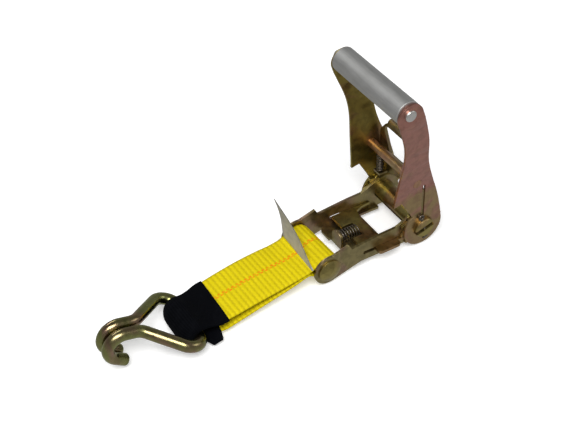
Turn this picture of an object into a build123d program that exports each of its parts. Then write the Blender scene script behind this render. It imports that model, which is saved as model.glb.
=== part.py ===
"""Short end of a 2 inch ratchet tie down: ratchet buckle, looped strap and double J hook.

Millimetres. The origin is the spindle axis at mid width, +Z up from the surface that the part rests on,
+X from the hook towards the ratchet, +Y across the webbing. The ratchet is drawn with its frame level, the
handle with its side plates upright and the strap with its length along -X. Each group is then turned into
place.
"""

from build123d import *
from math import asin, atan2, cos, hypot, radians, sin, sqrt, tan
import os

os.makedirs("parts", exist_ok=True)

# ---- how the groups stand -------------------------------------------------------------------
FRAME_PITCH = 3.6            # frame tips up towards the strap end, which stands on its rear lobe
HANDLE_TILT = 15.65          # handle leans this far from square to the frame, towards the strap
STRAP_SLOPE = 2.32           # strap falls this much towards the hook
STRAP_YAW = 2.5              # slack strap lies this far off the frame's centre line
FLOOR_Z = -20.0              # surface that the part rests on

# ---- widths across the ratchet (half widths along Y) ----------------------------------------
WEB_WIDTH = 50.0             # 2 inch webbing
FRAME_IN = 25.9              # frame side plate, inner face
FRAME_T = 2.5
FRAME_OUT = FRAME_IN + FRAME_T
WHEEL_IN = FRAME_OUT + 0.2
WHEEL_T = 2.5
WHEEL_OUT = WHEEL_IN + WHEEL_T
HANDLE_IN = WHEEL_OUT + 0.2
HANDLE_T = 2.3
HANDLE_OUT = HANDLE_IN + HANDLE_T
GRIP_HALF = 45.7             # half length of the grip tube
PLATE_GAP = 0.2              # handle plate to grip end
RUN = 0.05                   # radial running clearance of pins in bores

# ---- frame side plate ------------------------------------------------------------------------
HUB_LOBE_R = 16.0
EDGE_TOP = 5.5
EDGE_LOW = -17.0
BOLT_X = -95.5
BOLT_Z = -11.5
STEP_X = -72.5               # step in the top edge, where the plate's deeper rear part starts
STEP_TOP = 7.9
WAIST_TOP = 2.0
CREST_X = -40.0              # the top edge is level as far back as here, then falls to the waist
EDGE_FRONT_X = -26.0         # straight edges start here, clear of the hub lobe
EDGE_BACK_X = -62.0
LOBE_TOP_ANGLE = 79.4        # where the top edge meets the bolt lobe
WEB_CORNER_R = 7.0

# ---- frame web and spring tab ---------------------------------------------------------------
WEB_T = 2.5
WEB_BACK = -72.0
WEB_CUT_X = -30.0            # front opening of the web starts here
WEB_CUT_HALF = 21.5
WEB_FRONT = -8.0
TAB_X = -67.0
TAB_HALF = 7.5
TAB_TOP = -1.0

# ---- base pawl -------------------------------------------------------------------------------
PAWL_T = 3.0
BASE_TOP = -7.0
BASE_REAR = -58.0
BASE_FRONT = -33.5
BASE_ARCH = 4.0
BASE_NOSE = -16.9            # nose in the valley of the wheels
EAR_FRONT = -24.5
EAR_REAR = -47.5
EAR_HALF = 36.2
SHOULDER_X = -47.0           # spring pushes here
TONGUE_X = -59.5
SLOT_REAR = -60.0
SLOT_FRONT = -16.2
SLOT_PLAY = 0.25
BASE_SPRING_OD = 12.0
BASE_SPRING_WIRE = 1.3
BASE_SPRING_TURNS = 7

# ---- spindle and wheels ----------------------------------------------------------------------
SPINDLE_R = 10.0
SPINDLE_SLOT = 4.4
SPINDLE_HALF = 37.4
SPINDLE_TURN = 18.4          # how the webbing slot lies at rest
TEETH = 12
TIP_R = 22.0
ROOT_R = 17.5
TOOTH_FACE = 202.5           # foot of one tooth's steep face
FACE_LEAN = 4.8
LAND = 5.0
RAMP = 11.7
PIN_R = 1.2
PIN_Y = 35.5

# ---- handle side plate -----------------------------------------------------------------------
LOBE_R = 20.0
BEND_LOW = 47.0              # side plates start to spread here
BEND_HIGH = 140.0
GRIP_U = 150.4
GRIP_V = 0.9
GRIP_R = 11.25
GRIP_BORE = 8.6
GRIP_BOLT_R = 3.0
TOP_R = 12.0
TOP_V = 1.5
TOP_U = 147.5
ROD_V = 2.2
ROD_U = 56.6
ROD_R = 4.3

# ---- drive pawl ------------------------------------------------------------------------------
DRIVE_TILT = 12.6            # pawl plate leans this much from the handle's own line
DRIVE_SHIFT = -1.5
DRIVE_FOOT = TIP_R + 0.4
DRIVE_ARCH = 33.0
DRIVE_EAR_LOW = 14.4
DRIVE_EAR_TOP = 43.5
DRIVE_EAR_HALF = 32.6
DRIVE_SLOT_LOW = 13.4
DRIVE_SLOT_TOP = 49.6
LOOP_HALF = 30.4
LOOP_LOW = 50.8
LOOP_TOP = 79.0
BAR_U = 82.5
BAR_R = 3.7
DRIVE_SPRING_Y = 21.0
DRIVE_SPRING_V = -7.6
DRIVE_SPRING_OD = 7.0
DRIVE_SPRING_WIRE = 1.1
DRIVE_SPRING_TURNS = 10
DRIVE_TAB_U = 29.5
DRIVE_TAB_T = 2.0

# ---- bolt through the strap loop -------------------------------------------------------------
BOLT_R = 5.0
BOLT_HEAD_R = 11.0
BOLT_HEAD_H = 4.2
BOLT_RIM_H = 1.4
SPACER_R = 8.0
WASHER_R = 12.0
WASHER_T = 1.6

# ---- strap: s runs from the bolt to the hook, n is square to the webbing ----------------------
WEBBING_T = 2.3
LOOP_IN = 10.2
CHEEK_S = 4.5                # the loop's straight cheeks leave its round part here
CHEEK_RISE = 0.932           # and this far out, as a share of the radius
TOP_N = 6.1                  # top face of the upper layer
NECK_S = 17.0
NECK_LOW = 0.3
LAYER_SPLIT = 24.0           # the two layers part here and stay apart up to the sleeve
LAYER_JOIN = 113.0
BAR_S = 128.0
BAR_N = 0.8
BAR_T = -1.95                # the hook's bar has slid a little to the near side of its eye
HOOK_YAW = 3.55              # and lies this much out of square with the strap
EYE_IN = 6.2
EYE_HALF = 20.4
EYE_FROM = 114.0
EYE_FULL = 123.0
SLEEVE_TOP_S = 100.3
SLEEVE_MID_S = 110.0
SLEEVE_LOW_S = 109.5
SLEEVE_T = 1.64
SLEEVE_TOP_HALF = 25.7
SLEEVE_LOW_HALF = 29.0       # the sleeve spreads where it lies on the ground
SLEEVE_END_HALF = 22.6
LABEL_T = 0.9
LABEL_GAP = 0.3              # between the label's foot and the webbing
LABEL_NEAR = (16.9, -25.0)
LABEL_FAR = (13.5, 24.6)
LABEL_TIP = (17.5, 25.0, 57.0)

# ---- double J hook, measured from the middle of its bar ----------------------------------------
WIRE_R = 5.35
ELBOW_T = 44.0
ELBOW_R = 12.2
MEET_S = 43.1
MEET_T = 6.0
MEET_N = 23.0
MEET_R = 13.8
J_S = 60.3
J_N = 15.0
J_R = 13.2
J_END = 48.3                 # the bend stops this far below level and runs on straight to the tip
TIP_RUN = 11.3

# ---- derived ---------------------------------------------------------------------------------
PITCH = radians(FRAME_PITCH)
BOLT_X_ROW = BOLT_X * cos(PITCH) + BOLT_Z * sin(PITCH)
BOLT_Z_ROW = -BOLT_X * sin(PITCH) + BOLT_Z * cos(PITCH)
BOLT_LOBE_R = BOLT_Z_ROW - FLOOR_Z

RATCHET = Rot(0, FRAME_PITCH, 0)
HANDLE = Rot(0, FRAME_PITCH - HANDLE_TILT, 0)
DRIVE = HANDLE * Pos(DRIVE_SHIFT, 0, 0) * Rot(0, DRIVE_TILT, 0)
STRAP = Pos(BOLT_X_ROW, 0, BOLT_Z_ROW) * Rot(0, 0, STRAP_YAW) * Rot(0, -STRAP_SLOPE, 0)
BAR = Pos(-BAR_S, BAR_T, BAR_N) * Rot(0, 0, -HOOK_YAW)


def save(name, shape):
    """Writes one sub-part; a part of one solid is written as that solid."""
    shape.label = name
    export_step(shape, f"parts/{name}.step")


def profile(*lines):
    """A face in the XZ plane from connected edges, seen along +Y with x to the right and z up."""
    return make_face(Curve() + list(lines))


def slab(face, y_from, y_to):
    """The XZ face drawn out along Y between two planes."""
    flat = Plane.XZ * face
    return extrude(Pos(0, y_to, 0) * flat, amount=y_to - y_from)


def rod(radius, y_from, y_to, x=0, z=0):
    """A round bar along Y."""
    return Pos(x, (y_from + y_to) / 2, z) * Rot(90, 0, 0) * Cylinder(radius, abs(y_to - y_from))


def block(x, y, z):
    """A box between two limits on each axis."""
    size = (x[1] - x[0], y[1] - y[0], z[1] - z[0])
    return Pos((x[0] + x[1]) / 2, (y[0] + y[1]) / 2, (z[0] + z[1]) / 2) * Box(*size)


def both_sides(shape):
    """A shape on the +Y side together with its mirror image."""
    return [shape, mirror(shape, about=Plane.XZ)]


def tangent_points(centre, radius, point, side):
    """Where the line from an outside point touches a circle, on the side given by its sign."""
    dx = centre[0] - point[0]
    dz = centre[1] - point[1]
    away = hypot(dx, dz)
    turn = side * asin(radius / away)
    reach = sqrt(away ** 2 - radius ** 2)
    angle = atan2(dz, dx) + turn
    return (point[0] + reach * cos(angle), point[1] + reach * sin(angle))


def coil(outer, wire, turns, length):
    """A closed and ground compression spring along +Z from the origin."""
    radius = outer / 2 - wire / 2
    run = length - wire
    path = Helix(pitch=run / turns, height=run, radius=radius)
    start = Plane(origin=path @ 0, z_dir=path % 0)
    return Pos(0, 0, wire / 2) * sweep(start * Circle(wire / 2), path=path)


# ---- frame -----------------------------------------------------------------------------------
def frame_side_face():
    """Side plate: round about the spindle, level edges, and a deep lobe round the strap bolt."""
    bolt = (BOLT_X, BOLT_Z)
    top_front = (EDGE_FRONT_X, EDGE_TOP)
    low_front = (EDGE_FRONT_X, EDGE_LOW)
    low_back = (EDGE_BACK_X, EDGE_LOW)
    hub_top = tangent_points((0, 0), HUB_LOBE_R, top_front, 1)
    hub_low = tangent_points((0, 0), HUB_LOBE_R, low_front, -1)
    rise = radians(LOBE_TOP_ANGLE)
    lobe_top = (BOLT_X + BOLT_LOBE_R * cos(rise), BOLT_Z + BOLT_LOBE_R * sin(rise))
    lobe_low = tangent_points(bolt, BOLT_LOBE_R, low_back, 1)
    lobe_mid = (BOLT_X - BOLT_LOBE_R, BOLT_Z)
    top = Polyline(hub_top, top_front, (CREST_X, EDGE_TOP - 0.4), (STEP_X, WAIST_TOP),
                   (STEP_X - 3.3, STEP_TOP), lobe_top)
    rear = ThreePointArc(lobe_top, lobe_mid, lobe_low)
    under = Polyline(lobe_low, low_back, low_front, hub_low)
    nose = ThreePointArc(hub_low, (HUB_LOBE_R, 0), hub_top)
    return profile(top, rear, under, nose)


def base_frame():
    """Stamped channel: two side plates, a web with an open front, and an upturned tab for the spring."""
    sides = both_sides(slab(frame_side_face(), FRAME_IN, FRAME_OUT))
    low = EDGE_LOW
    web = block((WEB_BACK, WEB_FRONT), (-FRAME_IN, FRAME_IN), (low, low + WEB_T))
    corners = web.edges().filter_by(Axis.Z).group_by(Axis.X)[0]
    web = fillet(corners, WEB_CORNER_R)
    opening = block((WEB_CUT_X, WEB_FRONT + 5), (-WEB_CUT_HALF, WEB_CUT_HALF), (low - 1, low + WEB_T + 1))
    tab = block((TAB_X - WEB_T, TAB_X), (-TAB_HALF, TAB_HALF), (low, TAB_TOP))
    tab = fillet(tab.edges().filter_by(Axis.X).group_by(Axis.Z)[-1], TAB_HALF - 0.5)
    window = block((WEB_BACK - 1, TAB_X - WEB_T), (-TAB_HALF - 1, TAB_HALF + 1), (low - 1, low + WEB_T + 1))
    body = web - opening - window + tab
    for side in sides:
        body += side
    hub = rod(SPINDLE_R + RUN, -HANDLE_OUT, HANDLE_OUT)
    bolt = rod(BOLT_R + RUN, -HANDLE_OUT, HANDLE_OUT, BOLT_X, BOLT_Z)
    slot = block((SLOT_REAR, SLOT_FRONT), (-HANDLE_OUT, HANDLE_OUT),
                 (BASE_TOP - PAWL_T - SLOT_PLAY, BASE_TOP + SLOT_PLAY))
    slot = fillet(slot.edges().filter_by(Axis.Y), 1.5)
    return body - hub - bolt - slot


def dome(radius, height, y_from, side):
    """Low domed head with a short upright rim and a flat back, along Y."""
    rise = height - BOLT_RIM_H
    ball = (radius ** 2 + rise ** 2) / (2 * rise)
    cap = Pos(0, y_from + side * (height - ball), 0) * Sphere(ball)
    return cap & rod(radius, y_from, y_from + side * (height + 1))


def webbing_bolt():
    """Bolt with a low domed head on the near side; the strap is looped round it."""
    shank = rod(BOLT_R, -FRAME_OUT - 0.5, FRAME_OUT + WASHER_T + 2)
    return Pos(BOLT_X, 0, BOLT_Z) * (dome(BOLT_HEAD_R, BOLT_HEAD_H, -FRAME_OUT, -1) + shank)


def bolt_spacer():
    """Tube on the bolt between the side plates; the strap loop bears on it."""
    tube = rod(SPACER_R, -FRAME_IN, FRAME_IN) - rod(BOLT_R, -FRAME_IN - 1, FRAME_IN + 1)
    return Pos(BOLT_X, 0, BOLT_Z) * tube


def bolt_washer():
    """Wide flat washer on the far side plate."""
    disc = rod(WASHER_R, FRAME_OUT, FRAME_OUT + WASHER_T)
    ring = disc - rod(BOLT_R, FRAME_OUT - 1, FRAME_OUT + WASHER_T + 1)
    return Pos(BOLT_X, 0, BOLT_Z) * ring


def bolt_cap():
    """Domed cap nut on the far end of the bolt."""
    seat = FRAME_OUT + WASHER_T
    cap = dome(BOLT_HEAD_R, BOLT_HEAD_H, seat, 1) - rod(BOLT_R, seat - 1, seat + 2)
    return Pos(BOLT_X, 0, BOLT_Z) * cap


def hex_nut(across_flats, thickness, bore, y_from):
    """Hexagon nut along Y with chamfered corners."""
    blank = extrude(RegularPolygon(across_flats / 2, 6, major_radius=False), amount=thickness)
    corner = across_flats / 2 / cos(radians(30))
    on_base = (Align.CENTER, Align.CENTER, Align.MIN)
    cone = Cone(corner + thickness * 1.2, corner - 0.9, thickness, align=on_base)
    nut = Pos(0, y_from, 0) * Rot(-90, 0, 0) * (blank & cone)
    return nut - rod(bore, y_from - 1, y_from + thickness + 1)


# ---- base pawl -------------------------------------------------------------------------------
def base_pawl():
    """Sliding lock plate: noses in the wheels, ears out through the frame slots, tongue in the spring."""
    inner = FRAME_IN - 0.3
    wheel_out = WHEEL_OUT - 0.1
    front = ThreePointArc((BASE_FRONT, -20.5), (BASE_FRONT - BASE_ARCH, 0), (BASE_FRONT, 20.5))
    left = Polyline((BASE_FRONT, 20.5), (-27.0, 23.0), (BASE_NOSE, 24.2), (BASE_NOSE, wheel_out),
                    (EAR_FRONT, wheel_out), (EAR_FRONT, EAR_HALF), (EAR_REAR, EAR_HALF), (EAR_REAR, inner),
                    (BASE_REAR, inner), (BASE_REAR, 8.5), (SHOULDER_X, 8.5), (SHOULDER_X, 0))
    right = mirror(left, about=Plane.XZ)
    plate = extrude(make_face(Curve() + [front, left, right]), amount=-PAWL_T)
    ears = [e for e in plate.edges().filter_by(Axis.Z) if abs(e.center().Y) > EAR_HALF - 0.5]
    plate = fillet(ears, 2.5)
    tongue = block((TONGUE_X, SHOULDER_X + 1), (-3.4, 3.4), (-PAWL_T, 0))
    tongue = chamfer(tongue.edges().filter_by(Axis.Z).group_by(Axis.X)[0], 1.5)
    return Pos(0, 0, BASE_TOP) * (plate + tongue)


def base_pawl_spring():
    """Compression spring between the frame's tab and the base pawl."""
    length = SHOULDER_X - TAB_X
    spring = coil(BASE_SPRING_OD, BASE_SPRING_WIRE, BASE_SPRING_TURNS, length - 0.1)
    return Pos(TAB_X + 0.05, 0, BASE_TOP - PAWL_T / 2) * Rot(0, 90, 0) * spring


# ---- spindle ---------------------------------------------------------------------------------
def spindle_half(side):
    """One of the two half moon bars that grip the loose webbing between them."""
    bar = rod(SPINDLE_R, -SPINDLE_HALF, SPINDLE_HALF)
    bar = chamfer(bar.faces().filter_by(GeomType.PLANE).edges(), 0.8)
    keep = block((-SPINDLE_R - 1, SPINDLE_R + 1), (-SPINDLE_HALF - 1, SPINDLE_HALF + 1),
                 (SPINDLE_SLOT / 2, SPINDLE_R + 1))
    half = bar & (keep if side > 0 else mirror(keep, about=Plane.XY))
    for y in (-PIN_Y, PIN_Y):
        half -= Pos(0, y, 0) * Cylinder(PIN_R, 3 * SPINDLE_R)
    return Rot(0, -SPINDLE_TURN, 0) * half


def polar(radius, angle):
    """Point in the XZ plane at an angle from +X towards +Z."""
    return (radius * cos(radians(angle)), radius * sin(radians(angle)))


def wheel_face():
    """Twelve saw teeth; each has a steep face, a short land and a ramp down to the next root."""
    step = 360 / TEETH
    lines = []
    for k in range(TEETH):
        foot = TOOTH_FACE + k * step
        tip = foot - FACE_LEAN
        ramp_top = tip - LAND
        ramp_foot = ramp_top - RAMP
        last_foot = foot - step
        mid_land = (ramp_top + tip) / 2
        root = ThreePointArc(polar(ROOT_R, last_foot), polar(ROOT_R, (last_foot + ramp_foot) / 2),
                             polar(ROOT_R, ramp_foot))
        lines += [root, Line(polar(ROOT_R, ramp_foot), polar(TIP_R, ramp_top)),
                  ThreePointArc(polar(TIP_R, ramp_top), polar(TIP_R, mid_land), polar(TIP_R, tip)),
                  Line(polar(TIP_R, tip), polar(ROOT_R, foot))]
    return make_face(Curve() + lines)


def ratchet_wheel(side):
    """Toothed plate keyed on the two half moons, with a bar across its bore."""
    y_from = WHEEL_IN if side > 0 else -WHEEL_OUT
    wheel = slab(wheel_face(), y_from, y_from + WHEEL_T)
    bore = rod(SPINDLE_R, y_from - 1, y_from + WHEEL_T + 1)
    bridge = block((-SPINDLE_R - 1, SPINDLE_R + 1), (y_from - 2, y_from + WHEEL_T + 2),
                   (-SPINDLE_SLOT / 2, SPINDLE_SLOT / 2))
    return wheel - Rot(0, -SPINDLE_TURN, 0) * (bore - bridge)


def cotter_pin(side):
    """Split pin through both half moons, just outside the handle plate: an eye and two bent legs."""
    reach = SPINDLE_R + 2.0
    legs = Cylinder(PIN_R, 2 * reach)
    eye = Pos(0, 0, reach + 1.6) * Rot(90, 0, 0) * Torus(2.2, PIN_R * 0.75)
    foot = Pos(-1.6, 0, -reach) * Rot(0, 90, 0) * Cylinder(PIN_R * 0.9, 5.0)
    pin = legs + eye + foot
    return Rot(0, -SPINDLE_TURN, 0) * Pos(0, side * PIN_Y, 0) * pin


# ---- handle ----------------------------------------------------------------------------------
def handle_side_face():
    """Side plate outline: hub lobe, waisted back, rounded top, and a hooked barb at the front."""
    lobe_back = (LOBE_R, 1.0)
    lobe_front = (-8.6, 18.06)
    top_back = (TOP_V + TOP_R, TOP_U)
    top_front = (TOP_V - TOP_R, TOP_U)
    barb = (-23.7, 43.5)
    back = Spline(lobe_back, (20.8, 22.0), (19.8, 42.0), (16.6, 66.0), (15.5, 84.0), (16.9, 104.0),
                  (15.8, 126.0), top_back)
    top = ThreePointArc(top_back, (TOP_V, TOP_U + TOP_R), top_front)
    front = Spline(top_front, (-8.6, 130.0), (-7.0, 114.0), (-8.8, 95.0), (-14.0, 77.0), (-18.8, 60.0),
                   barb)
    hook = Polyline(barb, (-15.3, 42.9), (-9.9, 24.2), lobe_front)
    lobe = ThreePointArc(lobe_front, (-LOBE_R * cos(radians(35)), -LOBE_R * sin(radians(35))), (0, -LOBE_R))
    lobe_end = ThreePointArc((0, -LOBE_R), (LOBE_R * cos(radians(45)), -LOBE_R * sin(radians(45))), lobe_back)
    return profile(back, top, front, hook, lobe, lobe_end)


def handle_band():
    """Cross section of the bent plate: upright at the hub, spread outwards, upright again at the grip."""
    wide = GRIP_HALF + PLATE_GAP
    bend = atan2(wide - HANDLE_IN, BEND_HIGH - BEND_LOW)
    ease = HANDLE_T * tan(bend / 2)
    points = [(HANDLE_IN, -30), (HANDLE_IN, BEND_LOW), (wide, BEND_HIGH), (wide, 170), (wide + HANDLE_T, 170),
              (wide + HANDLE_T, BEND_HIGH - ease), (HANDLE_OUT, BEND_LOW - ease), (HANDLE_OUT, -30)]
    face = make_face(Polyline(*points, close=True))
    bends = face.vertices().filter_by_position(Axis.Y, BEND_LOW - 2, BEND_HIGH + 2)
    face = fillet(bends, 12.0)
    return extrude(Pos(-40, 0, 0) * (Plane.YZ * face), amount=80)


def handle_plate():
    """Handle side plate on the +Y side, with its bores and the slot for the drive pawl's ear."""
    plate = slab(handle_side_face(), HANDLE_IN - 5, GRIP_HALF + 10) & handle_band()
    plate -= rod(SPINDLE_R + RUN, 20, 60)
    plate -= rod(ROD_R, 20, 60, ROD_V, ROD_U)
    plate -= rod(GRIP_BOLT_R, 20, 60, GRIP_V, GRIP_U)
    slot = block((-PAWL_T / 2 - 0.1, PAWL_T / 2 + 0.1), (20, 60), (DRIVE_SLOT_LOW, DRIVE_SLOT_TOP))
    slot = fillet(slot.edges().filter_by(Axis.Y), 0.8)
    return plate - Pos(DRIVE_SHIFT, 0, 0) * Rot(0, DRIVE_TILT, 0) * slot


def grip_tube():
    """Aluminium grip, hollow, with rounded ends."""
    tube = rod(GRIP_R, -GRIP_HALF, GRIP_HALF)
    tube = fillet(tube.faces().filter_by(GeomType.PLANE).edges(), 0.8)
    return Pos(GRIP_V, 0, GRIP_U) * (tube - rod(GRIP_BORE, -GRIP_HALF - 1, GRIP_HALF + 1))


def grip_plug(side):
    """Bush that centres the grip tube on its bolt."""
    y_from = side * (GRIP_HALF - 8) if side > 0 else -GRIP_HALF
    plug = rod(GRIP_BORE, y_from, y_from + 8) - rod(GRIP_BOLT_R, y_from - 1, y_from + 9)
    return Pos(GRIP_V, 0, GRIP_U) * plug


def grip_bolt():
    """Through bolt of the grip with a button head on the near plate."""
    wide = GRIP_HALF + PLATE_GAP + HANDLE_T
    head = rod(5.2, -wide - 2.4, -wide)
    head = fillet(head.faces().sort_by(Axis.Y)[0].edges(), 1.6)
    shank = rod(GRIP_BOLT_R, -wide - 1, wide + 6.5)
    return Pos(GRIP_V, 0, GRIP_U) * (head + shank)


def grip_nut():
    """Nut on the grip's through bolt."""
    wide = GRIP_HALF + PLATE_GAP + HANDLE_T
    return Pos(GRIP_V, 0, GRIP_U) * hex_nut(10.0, 5.0, GRIP_BOLT_R, wide)


def cross_rod():
    """Rod that ties the side plates together and backs the drive pawl springs."""
    bar = rod(ROD_R, -HANDLE_OUT - 2.2, HANDLE_OUT + 2.2, ROD_V, ROD_U)
    return fillet(bar.faces().filter_by(GeomType.PLANE).edges(), 1.0)


# ---- drive pawl ------------------------------------------------------------------------------
def drive_pawl():
    """Pull-up pawl: feet over the wheels, ears in the plate slots, and a finger loop with a rolled edge."""
    inside = HANDLE_IN - 0.3
    foot_in = FRAME_IN - 0.4
    arch = ThreePointArc((-foot_in + 2, DRIVE_FOOT), (0, DRIVE_ARCH), (foot_in - 2, DRIVE_FOOT))
    foot_out = HANDLE_IN - 0.05
    ear = Polyline((foot_in - 2, DRIVE_FOOT), (foot_out, DRIVE_FOOT), (foot_out, DRIVE_EAR_LOW),
                   (DRIVE_EAR_HALF, DRIVE_EAR_LOW), (DRIVE_EAR_HALF, DRIVE_EAR_TOP), (inside, DRIVE_EAR_TOP),
                   (LOOP_HALF, LOOP_LOW), (LOOP_HALF, LOOP_TOP - 9), (LOOP_HALF - 9, BAR_U), (0, BAR_U))
    other = mirror(ear, about=Plane.YZ)
    outline = make_face(Curve() + [arch, ear, other])
    shoulders = [v for v in outline.vertices() if v.Y > LOOP_TOP - 11 and abs(v.X) > 15]
    outline = fillet(shoulders, 8.0)
    opening = make_face(Polyline((-14, LOOP_LOW), (14, LOOP_LOW), (24, LOOP_TOP - 6), (22, LOOP_TOP),
                                 (-22, LOOP_TOP), (-24, LOOP_TOP - 6), close=True))
    opening = fillet(opening.vertices(), 3.0)
    plate = extrude(Pos(-PAWL_T / 2, 0, 0) * (Plane.YZ * (outline - opening)), amount=PAWL_T)
    roll = rod(BAR_R, -21.0, 21.0, BAR_R - PAWL_T / 2, BAR_U)
    roll = fillet(roll.faces().filter_by(GeomType.PLANE).edges(), 2.0)
    body = plate + roll
    for y in (-DRIVE_SPRING_Y, DRIVE_SPRING_Y):
        reach = DRIVE_SPRING_V - DRIVE_SPRING_OD / 2
        body += block((reach, 0), (y - 4.5, y + 4.5), (DRIVE_TAB_U, DRIVE_TAB_U + DRIVE_TAB_T))
    return body


def drive_spring(y):
    """Spring between the cross rod and the drive pawl's tab, in the pawl's own axes."""
    turn = radians(DRIVE_TILT)
    rod_u = (ROD_V - DRIVE_SHIFT) * sin(turn) + ROD_U * cos(turn)
    seat = DRIVE_TAB_U + DRIVE_TAB_T
    length = rod_u - ROD_R - seat
    spring = coil(DRIVE_SPRING_OD, DRIVE_SPRING_WIRE, DRIVE_SPRING_TURNS, length - 0.1)
    return Pos(DRIVE_SPRING_V, y, seat + 0.05) * spring


# ---- strap, in its own axes: x is minus s, y across, z is n -----------------------------------
def strap_layers(grow):
    """Side view of the doubled webbing from the neck to the middle of the eye."""
    eye_r = EYE_IN + WEBBING_T + grow
    low = BAR_N - EYE_IN - WEBBING_T
    return make_face(Polyline((-NECK_S, TOP_N + grow), (-SLEEVE_TOP_S, TOP_N + grow), (-BAR_S, BAR_N + eye_r),
                              (-BAR_S, BAR_N - eye_r), (-BAR_S + 10, low - grow),
                              (-NECK_S, NECK_LOW - grow), close=True))


def strap_loop():
    """Side view of the loop round the bolt's spacer, drawn in to the neck."""
    loop_r = LOOP_IN + WEBBING_T
    cheek = Polyline((-CHEEK_S, loop_r * CHEEK_RISE), (-NECK_S - 1, TOP_N), (-NECK_S - 1, NECK_LOW),
                     (-CHEEK_S, -loop_r * CHEEK_RISE), close=True)
    start = CHEEK_S * LOOP_IN / loop_r
    back = NECK_S - 3.5
    hollow = Polyline((-start, LOOP_IN * CHEEK_RISE), (-back, TOP_N - WEBBING_T),
                      (-back, NECK_LOW + WEBBING_T - 0.4), (-start, -LOOP_IN * CHEEK_RISE), close=True)
    return Circle(loop_r) + make_face(cheek) - Circle(LOOP_IN) - make_face(hollow)


def layer_gap():
    """Side view of the wedge between the upper and the lower layer."""
    fall = (NECK_LOW - (BAR_N - EYE_IN - WEBBING_T)) / (BAR_S - 10 - NECK_S)
    low_from = NECK_LOW - fall * (LAYER_SPLIT - NECK_S) + WEBBING_T
    low_to = NECK_LOW - fall * (LAYER_JOIN - NECK_S) + WEBBING_T
    top = TOP_N - WEBBING_T
    return make_face(Polyline((-LAYER_SPLIT, top), (-LAYER_JOIN, top), (-LAYER_JOIN, low_to),
                              (-LAYER_SPLIT, low_from), close=True))


def strap_plan(half, end_half, start):
    """Plan view of the webbing or the sleeve, narrower where it wraps the bar."""
    corners = [(start, half), (-EYE_FROM, half), (-EYE_FULL, end_half), (-BAR_S - 20, end_half)]
    mirrored = [(x, -y) for x, y in reversed(corners)]
    return extrude(Pos(0, 0, -30) * make_face(Polyline(*corners, *mirrored, close=True)), amount=60)


def eye(radius, half):
    """Round of the eye about the hook's bar."""
    return BAR * Pos(0, -BAR_T, 0) * rod(radius, -half, half)


def strap_webbing():
    """Short strap sewn into a loop at each end; its two layers stand apart in the middle."""
    half = WEB_WIDTH / 2
    body = slab(strap_layers(0), -half, half) & strap_plan(half, EYE_HALF, 20)
    body += slab(strap_loop(), -half, half)
    body += eye(EYE_IN + WEBBING_T, EYE_HALF)
    return body - eye(EYE_IN, 40) - slab(layer_gap(), -40, 40)


def wear_sleeve():
    """Fabric sleeve over the hook end of the strap, open towards the ratchet and round the bar."""
    mouth = Polyline((-SLEEVE_TOP_S, 30), (-SLEEVE_TOP_S, TOP_N + SLEEVE_T), (-SLEEVE_MID_S, 0),
                     (-SLEEVE_LOW_S, -12), (-SLEEVE_LOW_S, -30), (-BAR_S, -30), (-BAR_S, 30), close=True)
    turn = Pos(-BAR_S, 0, 0) * Rot(0, 0, -HOOK_YAW) * Pos(BAR_S, 0, 0)
    section = Polyline((SLEEVE_TOP_HALF, 14), (SLEEVE_LOW_HALF, -12), (-SLEEVE_LOW_HALF, -12),
                       (-SLEEVE_TOP_HALF, 14), close=True)
    outside = slab(strap_layers(SLEEVE_T), -40, 40) & turn * slab(make_face(mouth), -50, 50)
    outside &= extrude(Pos(-BAR_S - 20, 0, 0) * (Plane.YZ * make_face(section)), amount=60)
    outside &= strap_plan(SLEEVE_LOW_HALF + 1, SLEEVE_END_HALF, -SLEEVE_TOP_S + 20)
    outside += eye(EYE_IN + WEBBING_T + SLEEVE_T, SLEEVE_END_HALF)
    inside = slab(strap_layers(0.1), -WEB_WIDTH / 2 - 0.1, WEB_WIDTH / 2 + 0.1)
    inside &= strap_plan(WEB_WIDTH / 2 + 0.1, EYE_HALF + 0.2, 20)
    inside += eye(EYE_IN + WEBBING_T + 0.1, 40)
    return outside - inside


def label_flap():
    """Fabric label sewn across the strap beside the bolt loop; it stands up with one corner folded down."""
    fall = (LOOP_IN + WEBBING_T) * CHEEK_RISE - TOP_N
    slope = fall / (NECK_S + 1 - CHEEK_S)
    near_n = TOP_N + slope * (NECK_S + 1 - LABEL_NEAR[0]) + LABEL_GAP
    far_n = TOP_N + slope * (NECK_S + 1 - LABEL_FAR[0]) + LABEL_GAP
    near = Vector(-LABEL_NEAR[0], LABEL_NEAR[1], near_n)
    far = Vector(-LABEL_FAR[0], LABEL_FAR[1], far_n)
    tip = Vector(-LABEL_TIP[0], LABEL_TIP[1], LABEL_TIP[2])
    face = make_face(Polyline(near, far, tip, close=True))
    return extrude(face, amount=LABEL_T / 2, both=True)


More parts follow.
